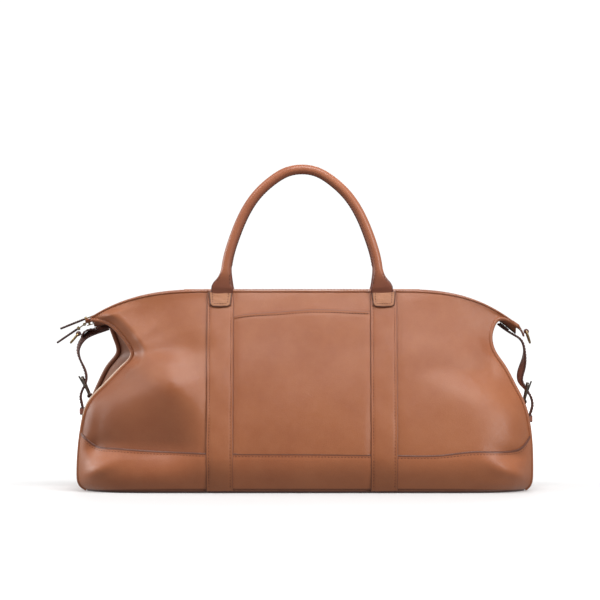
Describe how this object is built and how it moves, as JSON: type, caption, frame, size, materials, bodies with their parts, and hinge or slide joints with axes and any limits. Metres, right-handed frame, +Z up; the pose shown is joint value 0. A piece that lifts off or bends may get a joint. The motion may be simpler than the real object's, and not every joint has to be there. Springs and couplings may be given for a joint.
{
  "type": "weekender bag",
  "caption": "Soft leather weekender bag with rolled handles, a zip over the top, ends pinched in by buckled straps, and a slip pocket in front.",
  "frame": {"origin": "middle of the underside, on the surface the bag stands on", "axes": "+X along the bag towards its right end, -Y the front with the pocket, +Z up"},
  "size_m": [0.6453, 0.258, 0.4376],
  "materials": {
    "leather_body": "smooth tan full-grain leather, soft sheen",
    "leather_handle": "smooth tan leather with darker burnished edges",
    "leather_trim": "dark reddish brown leather",
    "lining_cloth": "plain woven cotton",
    "base_stiffener": "matte sheet",
    "rope_core": "cotton cord",
    "zip_tape": "woven tape",
    "brass_hardware": "brushed, slightly antiqued"
  },
  "bodies": {
    "bag": {"back_band_left": "leather_body", "back_band_right": "leather_body", "back_boot": "leather_body", "back_handle_patch_left": "leather_body", "back_handle_patch_right": "leather_body", "back_panel": "leather_body", "base_board": "base_stiffener", "bottom_panel": "leather_body", "bottom_piping": "leather_trim", "front_band_left": "leather_body", "front_band_right": "leather_body", "front_boot": "leather_body", "front_handle_patch_left": "leather_body", "front_handle_patch_right": "leather_body", "front_panel": "leather_body", "front_pocket": "leather_body", "left_boot": "leather_body", "left_buckle_chape": "leather_trim", "left_end_facing": "leather_body", "left_end_tab": "leather_trim", "left_end_zip": "zip_tape", "left_gusset": "leather_body", "left_keeper": "leather_trim", "left_ring_chape": "leather_trim", "left_side_strap": "leather_handle", "left_strap_anchor": "leather_trim", "lining": "lining_cloth", "right_boot": "leather_body", "right_buckle_chape": "leather_trim", "right_end_facing": "leather_body", "right_end_tab": "leather_trim", "right_end_zip": "zip_tape", "right_gusset": "leather_body", "right_keeper": "leather_trim", "right_ring_chape": "leather_trim", "right_side_strap": "leather_handle", "right_strap_anchor": "leather_trim"},
    "mouth_front": {"front_mouth_facing": "leather_body", "front_zip_chain": "brass_hardware", "front_zip_tape": "zip_tape"},
    "mouth_back": {"back_mouth_facing": "leather_body", "back_zip_chain": "brass_hardware", "back_zip_tape": "zip_tape"},
    "slider_inner": {"inner_slider": "brass_hardware"},
    "slider_outer": {"outer_slider": "brass_hardware"},
    "pull_inner": {"inner_pull_link": "brass_hardware", "inner_pull_tab": "leather_trim"},
    "pull_outer": {"outer_pull_link": "brass_hardware", "outer_pull_tab": "leather_trim"},
    "handle_front": {"front_handle": "leather_handle", "front_handle_core": "rope_core"},
    "handle_back": {"back_handle": "leather_handle", "back_handle_core": "rope_core"},
    "ring_left": {"left_ring": "brass_hardware"},
    "ring_right": {"right_ring": "brass_hardware"},
    "buckle_left": {"left_buckle_frame": "brass_hardware"},
    "buckle_right": {"right_buckle_frame": "brass_hardware"},
    "prong_left": {"left_buckle_prong": "brass_hardware"},
    "prong_right": {"right_buckle_prong": "brass_hardware"}
  },
  "joints": [
    {"name": "mouth_front_open", "type": "hinge", "parent": "bag", "child": "mouth_front", "pos_m": [0, -0.043, 0.2675], "axis": [-1, 0, 0], "range_deg": [0, 60]},
    {"name": "mouth_back_open", "type": "hinge", "parent": "bag", "child": "mouth_back", "pos_m": [0, 0.043, 0.2675], "axis": [1, 0, 0], "range_deg": [0, 60]},
    {"name": "inner_slider_travel", "type": "hinge", "parent": "bag", "child": "slider_inner", "pos_m": [0, 0, -0.7555], "axis": [0, 1, 0], "range_deg": [0, 28]},
    {"name": "outer_slider_travel", "type": "hinge", "parent": "bag", "child": "slider_outer", "pos_m": [0, 0, -0.7555], "axis": [0, 1, 0], "range_deg": [0, 0.2]},
    {"name": "inner_pull_swing", "type": "hinge", "parent": "slider_inner", "child": "pull_inner", "pos_m": [-0.2714, 0, 0.23761], "axis": [0, 1, 0], "range_deg": [0, 150]},
    {"name": "outer_pull_swing", "type": "hinge", "parent": "slider_outer", "child": "pull_outer", "pos_m": [-0.29433, 0, 0.22158], "axis": [0, 1, 0], "range_deg": [-3, 17]},
    {"name": "front_handle_fold", "type": "hinge", "parent": "bag", "child": "handle_front", "pos_m": [0, -0.054, 0.272], "axis": [1, 0, 0], "range_deg": [-10, 145]},
    {"name": "back_handle_fold", "type": "hinge", "parent": "bag", "child": "handle_back", "pos_m": [0, 0.054, 0.272], "axis": [-1, 0, 0], "range_deg": [-10, 145]},
    {"name": "left_ring_swing", "type": "hinge", "parent": "bag", "child": "ring_left", "pos_m": [-0.3025, 0, 0.209], "axis": [0, 1, 0], "range_deg": [-25, 22]},
    {"name": "right_ring_swing", "type": "hinge", "parent": "bag", "child": "ring_right", "pos_m": [0.3035, 0, 0.212], "axis": [0, -1, 0], "range_deg": [-12, 100]},
    {"name": "left_buckle_tilt", "type": "hinge", "parent": "bag", "child": "buckle_left", "pos_m": [-0.287, 0, 0.125], "axis": [0, -1, 0], "range_deg": [-2, 4]},
    {"name": "right_buckle_tilt", "type": "hinge", "parent": "bag", "child": "buckle_right", "pos_m": [0.3005, 0, 0.117], "axis": [0, 1, 0], "range_deg": [-1, 4]},
    {"name": "left_prong_lift", "type": "hinge", "parent": "buckle_left", "child": "prong_left", "pos_m": [-0.287, 0, 0.125], "axis": [0, -1, 0], "range_deg": [0, 4]},
    {"name": "right_prong_lift", "type": "hinge", "parent": "buckle_right", "child": "prong_right", "pos_m": [0.3005, 0, 0.117], "axis": [0, 1, 0], "range_deg": [0, 4]}
  ],
  "couplings": [
    {"joint": "mouth_back_open", "follows": "mouth_front_open", "ratio": 1}
  ]
}
